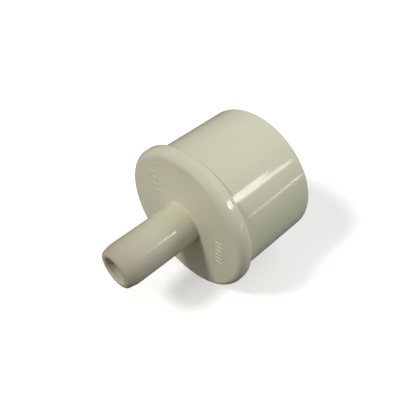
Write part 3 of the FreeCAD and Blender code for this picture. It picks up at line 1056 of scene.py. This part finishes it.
make_inlet_cap()
make_sleeve()
make_cap_o_ring()
make_diffuser_tube()
make_diffuser_sock()
make_diffuser_end_plug()
make_screw_insert()
FELTS = (
    ("front_felt_ring", BOSS_RADIUS + 0.15),
    ("absorber_ring_1", FELT_BORE),
    ("absorber_ring_2", FELT_BORE),
    ("absorber_ring_3", FELT_BORE),
    ("felt_disc", 0),
)
for seed, (felt_node, felt_bore) in enumerate(FELTS, start=1):
    make_felt(felt_node, felt_bore, seed)
make_baffle("inner_baffle", hole=1.1, circle=11.0, holes=14)
make_baffle("outer_baffle", hole=1.2, circle=4.2, holes=6)
make_plain_washer()
make_lock_washer()
make_stack_screw()
make_gauze()
make_exhaust_grille()
make_retaining_ring()


# ---------------------------------------------------------------- stage, camera and lights

def look_directions(azimuth, elevation, roll):
    """The camera's right, up and back directions. Azimuth 0 looks along +Y."""
    back = Vector((math.sin(azimuth) * math.cos(elevation),
                   -math.cos(azimuth) * math.cos(elevation), math.sin(elevation)))
    level = Vector((math.cos(azimuth), math.sin(azimuth), 0))
    upright = back.cross(level)
    right = level * math.cos(roll) + upright * math.sin(roll)
    up = upright * math.cos(roll) - level * math.sin(roll)
    return right, up, back


def make_camera():
    right, up, back = look_directions(CAMERA_AZIMUTH, CAMERA_ELEVATION, CAMERA_ROLL)
    data = bpy.data.cameras.new("camera")
    data.lens = CAMERA_LENS
    data.sensor_width = 36
    data.clip_start = 0.005
    data.clip_end = 20
    camera = bpy.data.objects.new("camera", data)
    bpy.context.scene.collection.objects.link(camera)
    place = Vector(CAMERA_TARGET) + back * CAMERA_DISTANCE
    turn = Matrix((right, up, back)).transposed().to_4x4()
    camera.matrix_world = Matrix.Translation(place * MM) @ turn
    bpy.context.scene.camera = camera


def floor_plane():
    """The way down and the depth of the surface that the muffler lies on.

    The collar touches it, and so does the sleeve's rear edge once the barrel is fully pulled off.
    """
    collar_y = SLEEVE_START - COLLAR_REAR_ROUNDING
    collar_r = COLLAR_RADIUS - COLLAR_REAR_ROUNDING
    rear_y = SLEEVE_END - SLEEVE_REAR_ROUNDING + PULL_OFF
    rear_r = SLEEVE_RADIUS - SLEEVE_REAR_ROUNDING
    run = rear_y - collar_y
    drop = collar_r - rear_r
    tilt = math.asin((COLLAR_REAR_ROUNDING - SLEEVE_REAR_ROUNDING) / math.hypot(run, drop))
    tilt += math.atan2(drop, run)
    down = Vector((0, math.sin(tilt), -math.cos(tilt)))
    depth = collar_y * down.y - collar_r * down.z + COLLAR_REAR_ROUNDING
    return down, depth


def make_floor():
    down, depth = floor_plane()
    centre = down * depth
    across = Vector((1, 0, 0))
    along = down.cross(across)
    # A round sheet, flat in the middle, that curves up all round into a wall.
    flat, bend, wall = 450, 350, 1500
    flat_steps, bend_steps = 3, 12
    rings = [(flat * step / flat_steps, 0) for step in range(1, flat_steps + 1)]
    for step in range(1, bend_steps + 1):
        turn = math.radians(90) * step / bend_steps
        rings.append((flat + bend * math.sin(turn), bend * (1 - math.cos(turn))))
    rings.append((flat + bend, wall))
    sides = 96
    vertices = [centre * MM]
    faces = [(0, 1 + side, 1 + (side + 1) % sides) for side in range(sides)]
    for ring, (reach, rise) in enumerate(rings):
        for side in range(sides):
            turn = TURN * side / sides
            spot = centre - down * rise + (across * math.cos(turn) + along * math.sin(turn)) * reach
            vertices.append(spot * MM)
            if ring:
                this, last = 1 + ring * sides, 1 + (ring - 1) * sides
                other = (side + 1) % sides
                faces.append((last + side, this + side, this + other, last + other))
    floor = smooth(new_mesh("floor", vertices, faces))
    shader = Shader("floor_paper", Roughness=0.9, Specular_IOR_Level=0.1)
    shader.colour(shader.noise(60), [(0.3, (0.94, 0.94, 0.94)), (0.7, (0.96, 0.96, 0.96))])
    shader.surface.inputs["Emission Color"].default_value = (1, 1, 1, 1)
    shader.surface.inputs["Emission Strength"].default_value = FLOOR_GLOW
    floor.data.materials.append(shader.material)
    # Lit paper, but it throws no light back on the muffler, whose lower side is in shade.
    floor.visible_diffuse = False
    floor.visible_glossy = False
    floor.visible_shadow = False


def make_key_light():
    data = bpy.data.lights.new("key", "SUN")
    data.energy = KEY_STRENGTH
    data.color = KEY_TINT
    data.angle = KEY_SPREAD
    light = bpy.data.objects.new("key", data)
    bpy.context.scene.collection.objects.link(light)
    light.rotation_mode = "QUATERNION"
    light.rotation_quaternion = Vector(KEY_DIRECTION).to_track_quat("Z", "Y")
    # Its reflection is left to the front window, which is broader.
    light.visible_glossy = False


def make_tube_light(name, start, end, width, radiance, colour):
    """A long light, width degrees across, seen from the muffler between two directions.

    A direction is its angle about the flow axis, from +X towards +Z, and its share along +Y.
    """
    ends = []
    for turn, along in (start, end):
        turn = math.radians(turn)
        reach = math.sqrt(1 - along ** 2)
        way = Vector((reach * math.cos(turn), along, reach * math.sin(turn)))
        ends.append(way * WINDOW_DISTANCE)
    start, end = ends
    width = math.radians(width)
    middle = (start + end) / 2
    length = (end - start).length
    thickness = 2 * WINDOW_DISTANCE * math.tan(width / 2)
    data = bpy.data.lights.new(name, "AREA")
    data.shape = "RECTANGLE"
    data.size = length * MM
    data.size_y = thickness * MM
    data.energy = radiance * math.pi * data.size * data.size_y
    data.color = colour
    light = bpy.data.objects.new(name, data)
    bpy.context.scene.collection.objects.link(light)
    along = (end - start).normalized()
    facing = middle.normalized()
    along = (along - facing * along.dot(facing)).normalized()
    turn = Matrix((along, facing.cross(along), facing)).transposed().to_4x4()
    light.matrix_world = Matrix.Translation(middle * MM) @ turn
    return light


def make_surroundings():
    """A dim room with broad soft glows, each a smooth lobe round one direction."""
    world = bpy.data.worlds.new("studio")
    bpy.context.scene.world = world
    world.use_nodes = True
    tree = world.node_tree
    place = tree.nodes.new("ShaderNodeTexCoord").outputs["Generated"]
    total = None
    for azimuth, elevation, strength, tint in SOFT_GLOWS:
        turn, rise = math.radians(azimuth), math.radians(elevation)
        way = (math.cos(rise) * math.cos(turn), math.cos(rise) * math.sin(turn), math.sin(rise))
        facing = tree.nodes.new("ShaderNodeVectorMath")
        facing.operation = "DOT_PRODUCT"
        facing.inputs[1].default_value = way
        tree.links.new(place, facing.inputs[0])
        fall = tree.nodes.new("ShaderNodeMath")
        fall.operation = "MULTIPLY_ADD"
        fall.inputs[1].default_value = GLOW_FALL
        fall.inputs[2].default_value = -GLOW_FALL
        tree.links.new(facing.outputs["Value"], fall.inputs[0])
        lobe = tree.nodes.new("ShaderNodeMath")
        lobe.operation = "EXPONENT"
        tree.links.new(fall.outputs[0], lobe.inputs[0])
        light = tree.nodes.new("ShaderNodeVectorMath")
        light.operation = "SCALE"
        light.inputs[0].default_value = [strength * share for share in tint]
        tree.links.new(lobe.outputs[0], light.inputs["Scale"])
        if total:
            both = tree.nodes.new("ShaderNodeVectorMath")
            both.operation = "ADD"
            tree.links.new(total, both.inputs[0])
            tree.links.new(light.outputs["Vector"], both.inputs[1])
            total = both.outputs["Vector"]
        else:
            total = light.outputs["Vector"]
    background = tree.nodes["Background"]
    background.inputs["Strength"].default_value = 1.0
    tree.links.new(total, background.inputs["Color"])


make_camera()
make_floor()
make_key_light()
for window in WINDOWS:
    make_tube_light(*window)
for glint in GLINTS:
    make_tube_light(*glint).visible_diffuse = False
make_surroundings()
bpy.context.scene.view_settings.view_transform = "Standard"
